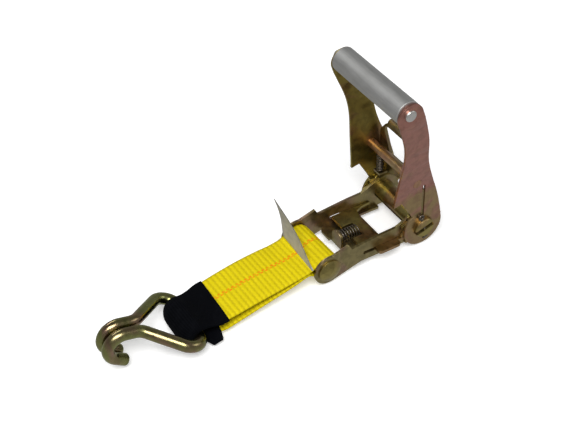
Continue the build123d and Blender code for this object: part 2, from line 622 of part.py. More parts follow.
# ---- hook ------------------------------------------------------------------------------------
def hook_arm():
    """Half of the bent wire: half the bar, one arm and one J."""
    side = hypot(J_S - MEET_S, J_N - MEET_N)
    reach = sqrt(side ** 2 - J_R ** 2)
    rise = atan2(J_N - MEET_N, J_S - MEET_S) + asin(J_R / side)
    touch = (-MEET_S - reach * cos(rise), MEET_T, MEET_N + reach * sin(rise))
    run = FilletPolyline((0, -0.5, 0), (0, ELBOW_T, 0), (-MEET_S, MEET_T, MEET_N), touch,
                         radius=[ELBOW_R, MEET_R])
    end = radians(J_END)
    low = (-J_S - J_R * cos(end), MEET_T, J_N - J_R * sin(end))
    curl = ThreePointArc(touch, (-J_S - J_R * cos(0.4), MEET_T, J_N + J_R * sin(0.4)), low)
    tip = Line(low, (low[0] + TIP_RUN * sin(end), MEET_T, low[2] - TIP_RUN * cos(end)))
    path = Wire([*run.edges(), *curl.edges(), *tip.edges()])
    start = Plane(origin=path @ 0, z_dir=path % 0)
    wire = sweep(start * Circle(WIRE_R), path=path)
    end_face = min(wire.faces().filter_by(GeomType.PLANE), key=lambda f: f.center().Z)
    return fillet(end_face.edges(), 2.5)


def double_j_hook():
    """One bent wire: a bar in the strap's eye, two arms that close in, and two J ends side by side."""
    arm = hook_arm() & block((-120, 40), (0, 80), (-60, 90))
    return BAR * (arm + mirror(arm, about=Plane.XZ))


# ---- write the parts ---------------------------------------------------------------------------
for node, shape in {
    "base_frame": base_frame(), "webbing_bolt": webbing_bolt(), "bolt_spacer": bolt_spacer(),
    "bolt_washer": bolt_washer(), "bolt_cap": bolt_cap(), "base_pawl": base_pawl(),
    "base_pawl_spring": base_pawl_spring(), "spindle_half_upper": spindle_half(1),
    "spindle_half_lower": spindle_half(-1), "ratchet_wheel_left": ratchet_wheel(1),
    "ratchet_wheel_right": ratchet_wheel(-1), "cotter_pin_left": cotter_pin(1),
    "cotter_pin_right": cotter_pin(-1),
}.items():
    save(node, RATCHET * shape)

PLATE = handle_plate()
for node, shape in {
    "handle_plate_left": PLATE, "handle_plate_right": mirror(PLATE, about=Plane.XZ), "grip_tube": grip_tube(),
    "grip_plug_left": grip_plug(1), "grip_plug_right": grip_plug(-1), "grip_bolt": grip_bolt(),
    "grip_nut": grip_nut(), "cross_rod": cross_rod(),
}.items():
    save(node, HANDLE * shape)

for node, shape in {
    "drive_pawl": drive_pawl(), "drive_spring_left": drive_spring(DRIVE_SPRING_Y),
    "drive_spring_right": drive_spring(-DRIVE_SPRING_Y),
}.items():
    save(node, DRIVE * shape)

for node, shape in {
    "strap_webbing": strap_webbing(), "wear_sleeve": wear_sleeve(), "label_flap": label_flap(),
    "double_j_hook": double_j_hook(),
}.items():
    save(node, STRAP * shape)
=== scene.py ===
"""Looks of the ratchet tie down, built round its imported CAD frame. Metres, in the CAD's own axes."""

from math import cos, hypot, pi, radians, sin

import bmesh
import bpy
from mathutils import Matrix, Vector, noise


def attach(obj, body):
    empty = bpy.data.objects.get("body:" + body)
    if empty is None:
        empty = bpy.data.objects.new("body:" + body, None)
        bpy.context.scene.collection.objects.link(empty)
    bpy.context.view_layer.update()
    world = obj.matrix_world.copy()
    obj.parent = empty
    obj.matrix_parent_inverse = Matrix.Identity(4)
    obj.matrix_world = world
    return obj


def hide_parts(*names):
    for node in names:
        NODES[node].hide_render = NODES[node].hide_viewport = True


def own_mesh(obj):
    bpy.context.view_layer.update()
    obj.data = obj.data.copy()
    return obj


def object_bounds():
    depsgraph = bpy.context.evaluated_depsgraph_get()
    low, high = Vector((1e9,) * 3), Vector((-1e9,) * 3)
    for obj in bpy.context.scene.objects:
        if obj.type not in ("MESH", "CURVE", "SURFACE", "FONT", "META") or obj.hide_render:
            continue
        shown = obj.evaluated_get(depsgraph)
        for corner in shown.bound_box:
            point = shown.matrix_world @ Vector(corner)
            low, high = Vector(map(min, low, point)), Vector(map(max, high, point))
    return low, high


MM = 0.001

# The lengths named below are in millimetres, unless their line says metres.

# ---- strap axes, as the CAD has them: s from the bolt to the hook, t across, n square to it -------
STRAP_YAW = radians(2.5)
STRAP_SLOPE = radians(-2.32)
BOLT = Vector((-96.0336, 0.0, -5.4808))
BAR_S = 128.0                # the hook's bar
BAR_N = 0.8

# ---- webbing ---------------------------------------------------------------------------------------
WEB_T = 2.3                  # thickness
WEB_HALF = 25.0              # half width along the strap, and in the eye round the bar
EYE_HALF = 20.2
LOOP_R = 11.35               # middle of the webbing round the bolt's spacer
EYE_R = 7.35                 # and round the hook's bar
TOP_N = 4.95                 # height of the upper layer's middle
LOW_SLOPE = 8.0 / 101.0      # the lower layer's fall from the upper one towards the hook
RIB_PITCH = 4.5
RIB_H = 0.16                 # height of the ribs, and how far below the surface they start
RIB_SINK = 0.14
UPPER_N = 3.0                # the webbing above this height is its upper layer
FREE_FROM = 26.0             # between the bolt and the sleeve both layers lie free
FREE_TO = 104.0
FREE_FADE = 14.0             # and this is how far that takes to begin and end
CROWN = 0.35                 # rise of the free webbing's middle
SLACK = 0.25                 # its random waviness
HUMP = 2.0                   # rise of the upper layer's far edge, where the strap is slack
GATHER_FROM = 103.0          # where the webbing starts to gather towards its eye
GATHER_RUN = 17.0
SELVEDGE_SHARE = 0.35        # share of the thickness that is left at the selvedge
TRACER_T = 1.2               # where the orange red tracer runs
WEB_STEP = 0.42              # mesh spacing along the webbing
WEB_COLUMNS = 22             # and columns across each of its faces

# ---- sleeve ----------------------------------------------------------------------------------------
SLEEVE_HALF = 22.8           # half width where it wraps the bar
SLEEVE_TOP_FLARE = 3.6       # how much wider each mouth is
SLEEVE_LOW_FLARE = 8.4
TOP_FLARE_FROM = 122.0       # where each flare starts, and how far it takes to open
TOP_FLARE_RUN = 18.0
LOW_FLARE_FROM = 125.5
LOW_FLARE_RUN = 5.5
SLEEVE_GAP = 0.35            # least gap between the webbing and the outer wall
SLEEVE_WALL = 0.35           # from the outer wall to the inner one
SLEEVE_SNUG = 0.12           # slack on the inside of the fold, at the bar and at the mouths
SLEEVE_SLACK = 2.3
SLEEVE_BULGE = 7.3           # how far the cloth stands off the webbing past the bar
BAR_SHIFT = 1.4              # the tube lies towards the near side at the bar
LOW_SHIFT = 0.9              # and a little less at its lower mouth
CORNER_PULL = 3.2            # the lower mouth's near corner is pulled this far towards the hook
SLEEVE_SKEW = 0.062          # the mouths lie this much out of square with the strap
SLEEVE_STEP = 0.7
SLEEVE_COLUMNS = 96
GROUND_GAP = 0.9             # cloth this far over the model's lowest point lies flat on the ground

# ---- label -----------------------------------------------------------------------------------------
LABEL_NEAR = Vector((16.9, -25.0, 6.6))      # s, t, n of the foot's ends and of the standing corner
LABEL_FAR = Vector((13.5, 24.6, 8.4))
LABEL_TIP = Vector((17.5, 25.0, 57.0))
LABEL_SIDE = 50.0
LABEL_T = 0.3                # thickness
LABEL_BOW = 2.9              # hollow of the leaning sheet, and the ripple along its foot
LABEL_RIPPLE = 0.5
LABEL_GAP = 0.35             # from the leaning half to the folded one, and its puff between them
LABEL_PUFF = 1.5
LABEL_CREASE = 0.1           # the same gap at the crease
LABEL_FOLD = 0.86            # how far down the folded corner reaches
LABEL_STEPS = 26

STAMPED = ("base_frame", "handle_plate_left", "handle_plate_right", "drive_pawl", "base_pawl",
           "ratchet_wheel_left", "ratchet_wheel_right", "webbing_bolt", "bolt_cap")
STAMPED_EDGE = 0.0003        # rolled edge of the stamped pieces, in metres
LAMP_AIM = Vector((-0.1, 0.0, 0.03))         # metres

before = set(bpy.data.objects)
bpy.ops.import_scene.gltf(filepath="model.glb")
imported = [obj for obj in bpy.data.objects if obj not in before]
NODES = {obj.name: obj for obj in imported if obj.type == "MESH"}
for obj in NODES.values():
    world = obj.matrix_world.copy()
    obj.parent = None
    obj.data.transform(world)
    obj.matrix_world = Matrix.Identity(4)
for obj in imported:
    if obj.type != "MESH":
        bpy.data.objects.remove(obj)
CAD_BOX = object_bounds()


def strap(s, t, n):
    """A point of the strap's own axes, in millimetres, as a point of the frame in metres."""
    turned = Matrix.Rotation(STRAP_YAW, 3, "Z") @ Matrix.Rotation(STRAP_SLOPE, 3, "Y") @ Vector((-s, t, n))
    return (BOLT + turned) * MM


# ---- materials -------------------------------------------------------------------------------------
class Nodes:
    """Short hand for building one material's nodes."""

    def __init__(self, name):
        self.material = bpy.data.materials.new(name)
        self.material.use_nodes = True
        self.tree = self.material.node_tree
        self.shader = self.tree.nodes["Principled BSDF"]
        self.place = self.add("ShaderNodeTexCoord").outputs["Object"]

    def add(self, kind, **values):
        node = self.tree.nodes.new(kind)
        for key, value in values.items():
            setattr(node, key, value)
        return node

    def link(self, source, target):
        self.tree.links.new(source, target)

    def set(self, **values):
        for key, value in values.items():
            self.shader.inputs[key.replace("_", " ")].default_value = value

    def scaled(self, x, y, z, source=None):
        node = self.add("ShaderNodeMapping")
        self.link(source or self.place, node.inputs["Vector"])
        node.inputs["Scale"].default_value = (x, y, z)
        return node.outputs["Vector"]

    def noise(self, scale, detail=4.0, rough=0.55, vector=None, distortion=0.0):
        node = self.add("ShaderNodeTexNoise")
        self.link(vector or self.place, node.inputs["Vector"])
        node.inputs["Scale"].default_value = scale
        node.inputs["Detail"].default_value = detail
        node.inputs["Roughness"].default_value = rough
        node.inputs["Distortion"].default_value = distortion
        return node.outputs["Fac"]

    def ramp(self, factor, *stops):
        """Colour or grey ramp from (position, colour or grey) stops."""
        node = self.add("ShaderNodeValToRGB")
        elements = node.color_ramp.elements
        for i, (position, value) in enumerate(stops):
            element = elements[i] if i < 2 else elements.new(position)
            element.position = position
            grey = not isinstance(value, tuple)
            element.color = (value, value, value, 1) if grey else (*value, 1)
        self.link(factor, node.inputs["Fac"])
        return node.outputs["Color"]

    def mix(self, factor, a, b, blend="MIX"):
        node = self.add("ShaderNodeMix", data_type="RGBA", blend_type=blend)
        for value, socket in ((factor, node.inputs[0]), (a, node.inputs[6]), (b, node.inputs[7])):
            if hasattr(value, "is_output"):
                self.link(value, socket)
            elif isinstance(value, tuple):
                socket.default_value = (*value, 1)
            else:
                socket.default_value = value
        return node.outputs[2]

    def math(self, operation, a, b=None, c=None):
        node = self.add("ShaderNodeMath", operation=operation)
        for value, socket in zip((a, b, c), node.inputs):
            if value is None:
                continue
            if hasattr(value, "is_output"):
                self.link(value, socket)
            else:
                socket.default_value = value
        return node.outputs["Value"]

    def colour(self, source):
        self.link(source, self.shader.inputs["Base Color"])

    def roughness(self, factor, low, high):
        """Roughness between two (position, value) stops of a factor."""
        self.link(self.ramp(factor, low, high), self.shader.inputs["Roughness"])

    def bump(self, height, distance, strength=1.0):
        node = self.add("ShaderNodeBump")
        node.inputs["Distance"].default_value = distance
        node.inputs["Strength"].default_value = strength
        self.link(height, node.inputs["Height"])
        self.link(node.outputs["Normal"], self.shader.inputs["Normal"])


def zinc(name, olive, mauve, dark, shift, mauve_share, rough=0.3, rise=0.0):
    """Yellow chromate zinc: olive gold that drifts to mauve and brown, with faint rolling marks.

    The shift moves the patches, so that no two pieces match. The rise, per metre, adds mauve upwards: a
    painted reflection change, for the plate's upper part past its bend."""
    n = Nodes(name)
    moved = n.add("ShaderNodeMapping")
    n.link(n.place, moved.inputs["Vector"])
    moved.inputs["Location"].default_value = shift
    patches = n.noise(26, 3, 0.5, moved.outputs["Vector"], 1.2)
    small = n.noise(150, 5, 0.6, moved.outputs["Vector"], 0.6)
    fine = n.noise(2600, 3, 0.6)
    marks = n.noise(420, 3, 0.6, n.scaled(0.12, 1.0, 1.0))
    edge = 0.5 + (0.5 - mauve_share) * 0.35
    # painted reflection: more mauve higher up, for the changed reflection above the plate's bend
    if rise:
        level = n.add("ShaderNodeSeparateXYZ")
        n.link(n.place, level.inputs["Vector"])
        above = n.math("SUBTRACT", level.outputs["Z"], 0.065)
        patches = n.math("MULTIPLY_ADD", above, rise, patches)
    base = n.mix(n.ramp(patches, (edge - 0.07, 0.0), (edge + 0.07, 1.0)), olive, mauve)
    base = n.mix(n.ramp(small, (0.32, 0.5), (0.58, 0.0)), base, dark)
    gold = tuple(min(1.0, 1.35 * c) for c in olive)
    base = n.mix(n.ramp(marks, (0.55, 0.0), (0.8, 0.22)), base, gold)
    n.colour(base)
    n.roughness(small, (0.3, rough), (0.75, rough + 0.16))
    n.set(Metallic=1.0)
    height = n.math("ADD", n.math("MULTIPLY", small, 0.7), n.math("MULTIPLY", fine, 0.12))
    n.bump(n.math("ADD", height, n.math("MULTIPLY", marks, 0.3)), 0.00012, 0.4)
    return n.material


def plain_metal(name, colour, stain, rough, squeeze, distance=0.00006):
    """Bare metal with draw or brush marks; squeeze stretches them along one axis."""
    n = Nodes(name)
    lines = n.noise(1500, 4, 0.7, n.scaled(*squeeze))
    broad = n.noise(60, 3, 0.6)
    base = n.mix(n.ramp(broad, (0.35, 0.0), (0.7, 0.55)), colour, stain)
    base = n.mix(n.ramp(lines, (0.35, 0.35), (0.6, 0.0)), base, tuple(0.62 * c for c in colour))
    n.colour(base)
    n.roughness(lines, (0.3, rough), (0.7, rough + 0.14))
    n.set(Metallic=1.0)
    n.bump(n.math("ADD", lines, n.math("MULTIPLY", broad, 0.5)), distance, 0.6)
    return n.material


def spring_wire():
    """Dark oiled spring wire."""
    n = Nodes("spring_wire")
    spots = n.noise(900, 4, 0.6)
    n.colour(n.ramp(spots, (0.35, (0.09, 0.08, 0.07)), (0.7, (0.22, 0.19, 0.15))))
    n.roughness(spots, (0.3, 0.32), (0.7, 0.5))
    n.set(Metallic=1.0)
    n.bump(spots, 0.00004, 0.5)
    return n.material


def moulded_plastic():
    """Black moulded plastic with a fine grain."""
    n = Nodes("moulded_plastic")
    grain = n.noise(3200, 3, 0.6)
    cloudy = n.noise(120, 3, 0.5)
    n.colour(n.ramp(cloudy, (0.3, (0.012, 0.012, 0.013)), (0.7, (0.03, 0.03, 0.03))))
    n.roughness(grain, (0.3, 0.45), (0.7, 0.6))
    n.bump(grain, 0.00005, 0.6)
    return n.material


def cloth_place(n):
    """Place on the cloth in millimetres: across and along."""
    node = n.add("ShaderNodeAttribute", attribute_name="cloth_mm", attribute_type="GEOMETRY")
    split = n.add("ShaderNodeSeparateXYZ")
    n.link(node.outputs["Vector"], split.inputs["Vector"])
    return split.outputs["X"], split.outputs["Y"], node.outputs["Vector"]


def wave(n, value, pitch, phase=0.0):
    """Smooth wave from 0 to 1 with that pitch in millimetres."""
    turned = n.math("MULTIPLY_ADD", value, 2 * pi / pitch, phase)
    return n.math("MULTIPLY_ADD", n.math("SINE", turned), 0.5, 0.5)


def webbing_material():
    """Yellow polyester webbing: cross ribs, lengthwise yarns, and a broken orange red tracer."""
    n = Nodes("webbing_yellow")
    across, along, place = cloth_place(n)
    column = n.math("GREATER_THAN", wave(n, across, 3.9), 0.5)
    ribs = wave(n, n.math("MULTIPLY_ADD", column, 0.3, along), RIB_PITCH)
    picks = wave(n, along, RIB_PITCH / 4)
    yarns = wave(n, across, 1.3)
    fuzz = n.noise(2.4, 4, 0.65, place)
    soft = n.noise(0.05, 3, 0.5, place)
    broken = n.noise(0.35, 3, 0.6, place)
    weave = n.math("MULTIPLY_ADD", ribs, 0.55, n.math("MULTIPLY", yarns, 0.2))
    weave = n.math("MULTIPLY_ADD", n.math("MULTIPLY", picks, yarns), 0.35, weave)
    # painted shade: the rib grooves, and the weave's low spots below, are darkened for the shade in the
    # hollows between ribs and yarns
    light, painted_groove_shade = (0.82, 0.67, 0.002), (0.42, 0.32, 0.0)
    groove_shade_ramp = n.ramp(ribs, (0.0, 0.6), (0.55, 0.0))
    groove_shade_mask = n.math("MULTIPLY", groove_shade_ramp, n.ramp(broken, (0.35, 0.3), (0.6, 1.0)))
    base = n.mix(groove_shade_mask, light, painted_groove_shade)
    base = n.mix(n.ramp(weave, (0.1, 0.5), (0.5, 0.0)), base, (0.55, 0.42, 0.0))
    base = n.mix(n.ramp(soft, (0.35, 0.25), (0.65, 0.0)), base, (0.62, 0.5, 0.0))
    base = n.mix(n.ramp(fuzz, (0.35, 0.22), (0.6, 0.0)), base, (0.4, 0.31, 0.0))
    for offset, phase in ((-0.9, 0.0), (1.1, pi)):
        line = n.math("COMPARE", across, TRACER_T + offset, 0.75)
        dash = n.math("GREATER_THAN", wave(n, along, RIB_PITCH, phase), 0.3)
        worn = n.ramp(broken, (0.36, 0.25), (0.56, 0.85))
        shown = n.math("MULTIPLY", worn, n.math("MULTIPLY", line, dash))
        base = n.mix(shown, base, (0.85, 0.15, 0.0))
    n.colour(base)
    n.roughness(fuzz, (0.3, 0.52), (0.7, 0.7))
    n.set(Specular_IOR_Level=0.14)
    n.bump(n.math("ADD", weave, n.math("MULTIPLY", fuzz, 0.25)), 0.0005, 0.9)
    return n.material


def sleeve_material():
    """Matt black plain weave with slightly lighter yarn crowns."""
    n = Nodes("sleeve_black")
    across, along, place = cloth_place(n)
    warp = wave(n, across, 1.1)
    weft = wave(n, along, 1.1)
    weave = n.math("MULTIPLY", warp, weft)
    fuzz = n.noise(2.2, 4, 0.65, place)
    worn = n.noise(0.09, 4, 0.6, place, 0.5)
    # painted light and shade: the yarn crowns are lighter, the hollows between the yarns darker
    crowns = n.ramp(weave, (0.1, 0.0), (0.8, 1.0))
    base = n.mix(crowns, (0.001, 0.0012, 0.002), (0.0032, 0.0037, 0.0055))
    base = n.mix(n.ramp(worn, (0.5, 0.0), (0.75, 0.5)), base, (0.005, 0.0056, 0.0075))
    n.colour(base)
    n.roughness(fuzz, (0.3, 0.75), (0.7, 0.92))
    n.set(Specular_IOR_Level=0.04)
    n.bump(n.math("ADD", weave, n.math("MULTIPLY", fuzz, 0.4)), 0.0003, 0.8)
    return n.material


def label_material():
    """Thin plain weave of a white label, a little grey and cloudy."""
    n = Nodes("label_white")
    across, along, place = cloth_place(n)
    weave = n.math("MULTIPLY", wave(n, across, 0.55), wave(n, along, 0.55))
    cloudy = n.noise(0.12, 4, 0.6, place)
    fuzz = n.noise(3.0, 3, 0.6, place)
    clouds = n.ramp(cloudy, (0.35, 0.0), (0.7, 1.0))
    base = n.mix(clouds, (0.39, 0.385, 0.355), (0.54, 0.525, 0.475))
    base = n.mix(n.ramp(weave, (0.1, 0.16), (0.6, 0.0)), base, (0.42, 0.43, 0.43))
    n.colour(base)
    n.roughness(fuzz, (0.3, 0.6), (0.7, 0.8))
    n.bump(n.math("ADD", weave, fuzz), 0.00012, 0.5)
    return n.material


def floor_material():
    """Plain pale studio floor."""
    n = Nodes("studio_floor")
    soft = n.noise(3, 2, 0.5)
    n.colour(n.ramp(soft, (0.3, (0.93, 0.93, 0.93)), (0.7, (0.95, 0.95, 0.95))))
    n.set(Roughness=0.9, Specular_IOR_Level=0.1)
    n.set(Emission_Color=(1.0, 1.0, 1.0, 1.0), Emission_Strength=0.3)
    return n.material


def give(node, material):
    """That CAD node's only material."""
    data = NODES[node].data
    data.materials.clear()
    data.materials.append(material)


def soften_edges(node, width):
    """Small rolled edge on a CAD node, so that stamped edges catch the light."""
    weld = NODES[node].modifiers.new("weld", "WELD")
    weld.merge_threshold = 0.00001
    bevel = NODES[node].modifiers.new("edge", "BEVEL")
    bevel.width = width
    bevel.segments = 2
    bevel.limit_method = "ANGLE"
    bevel.angle_limit = radians(40)
    bevel.harden_normals = True


# ---- mesh helpers ----------------------------------------------------------------------------------
def cloth_piece(name, verts, faces, cloth, material):
    """A smooth mesh from points, faces and their places on the flat cloth, riding on the strap."""
    mesh = bpy.data.meshes.new(name)
    mesh.from_pydata([tuple(v) for v in verts], [], faces)
    mesh.attributes.new("cloth_mm", "FLOAT_VECTOR", "POINT")
    flat = [c for place in cloth for c in place]
    mesh.attributes["cloth_mm"].data.foreach_set("vector", flat)
    mesh.materials.append(material)
    made = bpy.data.objects.new(name, mesh)
    bpy.context.scene.collection.objects.link(made)
    tidy = bmesh.new()
    tidy.from_mesh(mesh)
    bmesh.ops.recalc_face_normals(tidy, faces=tidy.faces)
    tidy.to_mesh(mesh)
    tidy.free()
    mesh.polygons.foreach_set("use_smooth", [True] * len(mesh.polygons))
    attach(made, "strap")
    return made


def band(a, b, around, back=False):
    """Faces between two closed rings of points that start at a and b."""
    faces = []
    for j in range(around):
        k = (j + 1) % around
        face = (a + j, a + k, b + k, b + j)
        faces.append(face if not back else (a + j, b + j, b + k, a + k))
    return faces


def walk(points, step):
    """Points evenly spaced along a polyline, with the length up to each."""
    lengths = [0.0]
    for a, b in zip(points, points[1:]):
        lengths.append(lengths[-1] + hypot(b[0] - a[0], b[1] - a[1]))
    count = max(2, round(lengths[-1] / step))
    out = []
    i = 0
    for k in range(count + 1):
        at = lengths[-1] * k / count
        while i < len(lengths) - 2 and lengths[i + 1] < at:
            i += 1
        share = (at - lengths[i]) / max(1e-9, lengths[i + 1] - lengths[i])
        a, b = points[i], points[i + 1]
        out.append((a[0] + (b[0] - a[0]) * share, a[1] + (b[1] - a[1]) * share, at))
    return out


def smoothed(points, rounds=3):
    """Corner cutting on a polyline that keeps its ends."""
    for _ in range(rounds):
        cut = [points[0]]
        for a, b in zip(points, points[1:]):
            cut.append((0.75 * a[0] + 0.25 * b[0], 0.75 * a[1] + 0.25 * b[1]))
            cut.append((0.25 * a[0] + 0.75 * b[0], 0.25 * a[1] + 0.75 * b[1]))
        points = cut + [points[-1]]
    return points


def arc(centre, radius, start, end, count):
    """Points of an arc in the s, n plane; angles in degrees from +s towards +n."""
    turns = [radians(start + (end - start) * k / count) for k in range(count + 1)]
    return [(centre[0] + radius * cos(a), centre[1] + radius * sin(a)) for a in turns]


def normals(path):
    """Unit normals of a path of (s, n, length)."""
    out = []
    for i in range(len(path)):
        a, b = path[max(0, i - 1)], path[min(len(path) - 1, i + 1)]
        length = hypot(b[0] - a[0], b[1] - a[1])
        out.append((-(b[1] - a[1]) / length, (b[0] - a[0]) / length))
    return out


def ease(x):
    """Smooth step from 0 to 1."""
    x = min(1.0, max(0.0, x))
    return x * x * (3 - 2 * x)


# ---- webbing ---------------------------------------------------------------------------------------
def eye_path():
    """Middle line of the upper layer as it rises over the hook's bar and round it."""
    return [(113, 5.6), (120, 7.6)] + arc((BAR_S, BAR_N), EYE_R, 100, -95, 40)


def strap_path():
    """Middle line of the webbing: lower layer, round the bolt, upper layer, round the bar, back."""
    low = [(s, 1.45 - (s - 17) * LOW_SLOPE) for s in (110, 90, 70, 50, 34)]
    neck_low = [(24, 2.2), (19, 2.3), (14, -1.9)]
    loop = arc((0, 0), LOOP_R, -62, -298, 40)
    neck_top = [(14, 7.0), (18.5, 5.05), (24, TOP_N)]
    top = [(s, TOP_N) for s in (34, 60, 90, 106)]
    back = [(122, -6.7), (112, -6.07)]
    return smoothed(low + neck_low + loop + neck_top + top + eye_path() + back)


def web_half(s):
    """Half width of the webbing, gathered where it passes round the bar."""
    return WEB_HALF + (EYE_HALF - WEB_HALF) * ease((s - GATHER_FROM) / GATHER_RUN)


def webbing():
    """The strap's webbing: a ribbon with ribs, rolled selvedges and a little slack in its surface."""
    path = walk(strap_path(), WEB_STEP)
    verts = []
    cloth = []
    for (s, n, at), (ds, dn) in zip(path, normals(path)):
        half = web_half(s)
        rib = RIB_H * (0.5 + 0.5 * sin(2 * pi * at / RIB_PITCH))
        free = ease((s - FREE_FROM) / FREE_FADE) * ease((FREE_TO - s) / FREE_FADE)
        hump = HUMP * free * sin(pi * min(1.0, max(0.0, (s - FREE_FROM) / (FREE_TO - FREE_FROM))))
        for side in (1, -1):
            for j in range(WEB_COLUMNS + 1):
                u = side * (-1 + 2 * j / WEB_COLUMNS)
                selvedge = max(0.0, 1 - abs(u) ** 14)
                full = SELVEDGE_SHARE + (1 - SELVEDGE_SHARE) * selvedge ** 0.5
                thick = (WEB_T / 2 - RIB_SINK + rib) * full
                wavy = noise.noise((s / 30, u * 1.2, n / 9))
                crown = free * (CROWN * (1 - u * u) + SLACK * wavy)
                lift = crown + hump * (0.5 + 0.5 * u) ** 1.5
                offset = side * thick + (lift if n > UPPER_N else -crown * 0.4)
                verts.append(strap(s + ds * offset, u * half, n + dn * offset))
                cloth.append((u * WEB_HALF, at, 0.0))
    around = 2 * (WEB_COLUMNS + 1)
    faces = []
    for i in range(len(path) - 1):
        faces += band(i * around, (i + 1) * around, around)
    faces.append(tuple(range(around)))
    faces.append(tuple(range(len(verts) - around, len(verts))))
    made = cloth_piece("strap_cloth", verts, faces, cloth, MATERIAL["webbing"])
    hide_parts("strap_webbing")


# ---- sleeve ----------------------------------------------------------------------------------------
def sleeve_path():
    """Middle line of the sleeved webbing: from the upper mouth, round the bar, to the lower mouth."""
    top = [(100.3, TOP_N), (106, TOP_N + 0.1)]
    back = [(122, -6.7), (117, -6.4), (108, -5.75)]
    return smoothed(top + eye_path() + back)


def rounded(value, power):
    """A sine or cosine pushed outwards, so that a circle becomes a rounded box."""
    return abs(value) ** power * (1 if value > 0 else -1)


def sleeve_faces(rings, around):
    """Outer wall, inner wall, and the hem that joins them at each mouth."""
    inner = rings * around
    last = (rings - 1) * around
    faces = []
    for i in range(rings - 1):
        faces += band(i * around, (i + 1) * around, around)
    for i in range(rings - 1):
        faces += band(inner + i * around, inner + (i + 1) * around, around, back=True)
    faces += band(0, inner, around, back=True)
    faces += band(last, inner + last, around)
    return faces


def sleeve():
    """The wear sleeve: a flattened double walled cloth tube, slack at its mouths and sides."""
    path = walk(sleeve_path(), SLEEVE_STEP)
    turn = normals(path)
    total = path[-1][2]
    ground = CAD_BOX[0].z + GROUND_GAP * MM
    verts = []
    cloth = []
    for layer in (0, 1):
        for (s, n, at), (ds, dn) in zip(path, turn):
            v = at / total
            upper = ease((TOP_FLARE_FROM - s) / TOP_FLARE_RUN) if v < 0.5 else 0.0
            lower = ease((LOW_FLARE_FROM - s) / LOW_FLARE_RUN) if v > 0.5 else 0.0
            half = SLEEVE_HALF + SLEEVE_TOP_FLARE * upper + SLEEVE_LOW_FLARE * lower
            bulge = SLEEVE_BULGE * ease(1 - abs(v - 0.52) / 0.3)
            slack_in = SLEEVE_SNUG + SLEEVE_SLACK * max(upper, lower)
            mouth = ease((0.3 - v) / 0.3) + ease((v - 0.7) / 0.3)
            for j in range(SLEEVE_COLUMNS):
                a = 2 * pi * j / SLEEVE_COLUMNS
                u = rounded(cos(a), 0.42)
                w = rounded(sin(a), 0.6)
                fold = noise.noise((u * 2.2, v * 7.0, 3.1 * w)) * 0.7 + noise.noise((u * 6, v * 15, w)) * 0.28
                grow = 0.9 + bulge * (1 - 0.08 * u) if w > 0 else slack_in
                thick = (WEB_T / 2 + SLEEVE_GAP + grow * (1 - 0.45 * u ** 4) + 0.45 * fold * abs(w)) * w
                t = u * (half + 0.5 * fold) - BAR_SHIFT * (1 - upper - lower) - LOW_SHIFT * lower
                if layer:
                    thick -= SLEEVE_WALL * w
                    t *= 0.985
                out_s = s + ds * thick
                out_s -= mouth * SLEEVE_SKEW * t
                out_s += CORNER_PULL * ease((v - 0.75) / 0.25) * max(0.0, -u) ** 6
                point = strap(out_s, t, n + dn * thick)
                point.z = max(point.z, ground + 0.0003 * layer)
                verts.append(point)
                cloth.append((u * half + w * 3, at, 0.0))
    faces = sleeve_faces(len(path), SLEEVE_COLUMNS)
    made = cloth_piece("sleeve_cloth", verts, faces, cloth, MATERIAL["sleeve"])
    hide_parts("wear_sleeve")


# ---- label -----------------------------------------------------------------------------------------
def grid_faces(start, count, back=False):
    """Faces of a square grid of points, count steps each way, that starts at one index."""
    faces = []
    for i in range(count):
        for j in range(count):
            a = start + i * (count + 1) + j
            b = a + count + 1
            faces.append((a, a + 1, b + 1, b) if back else (a, b, b + 1, a + 1))
    return faces


def label_point(p, q, lift):
    """Point of the leaning half: p along the foot, q up towards the tip, lift square to it."""
    along = LABEL_FAR - LABEL_NEAR
    normal = along.cross(LABEL_TIP - LABEL_NEAR).normalized()
    if normal.x < 0:
        normal.negate()
    flat = LABEL_NEAR + along * p + (LABEL_TIP - LABEL_FAR) * q
    bow = -LABEL_BOW * sin(pi * q) * (1 - 0.35 * p)
    ripple = LABEL_RIPPLE * sin(2.2 * pi * p + 1.0) * q
    return strap(*(flat + normal * (bow + ripple + lift)))


def label():
    """The label: a nearly square sheet standing on the strap, its near top corner folded down behind."""
    verts = []
    cloth = []
    for i in range(LABEL_STEPS + 1):
        p = i / LABEL_STEPS
        for j in range(LABEL_STEPS + 1):
            q = p * j / LABEL_STEPS
            verts.append(label_point(p, q, 0.0))
            cloth.append((LABEL_SIDE * p, LABEL_SIDE * q, 0.0))
    folded = len(verts)
    for i in range(LABEL_STEPS + 1):
        p = i / LABEL_STEPS
        for j in range(LABEL_STEPS + 1):
            down = j / LABEL_STEPS * LABEL_FOLD
            gap = -LABEL_GAP - LABEL_PUFF * sin(pi * min(1.0, down * 1.1) * 0.5) * (1 - 0.3 * p)
            if j == 0:
                gap = -LABEL_CREASE
            verts.append(label_point(p, p * (1 - down), gap))
            cloth.append((LABEL_SIDE * p - LABEL_SIDE * down * p, LABEL_SIDE + LABEL_SIDE * down, 0.0))
    faces = grid_faces(0, LABEL_STEPS) + grid_faces(folded, LABEL_STEPS, back=True)
    made = cloth_piece("label_cloth", verts, faces, cloth, MATERIAL["label"])
    joined = bmesh.new()
    joined.from_mesh(made.data)
    bmesh.ops.remove_doubles(joined, verts=joined.verts, dist=0.00012)
    joined.to_mesh(made.data)
    joined.free()
    shell = made.modifiers.new("cloth", "SOLIDIFY")
    shell.thickness = LABEL_T * MM
    shell.offset = 0
    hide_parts("label_flap")


# ---- coil springs ----------------------------------------------------------------------------------
def spring(name, node, body):
    """The CAD coil again as a piece of its own."""
    made = bpy.data.objects.new(name, NODES[node].data.copy())
    bpy.context.scene.collection.objects.link(made)
    made.data.materials.clear()
    made.data.materials.append(MATERIAL["spring"])
    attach(made, body)
    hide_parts(node)
    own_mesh(made)


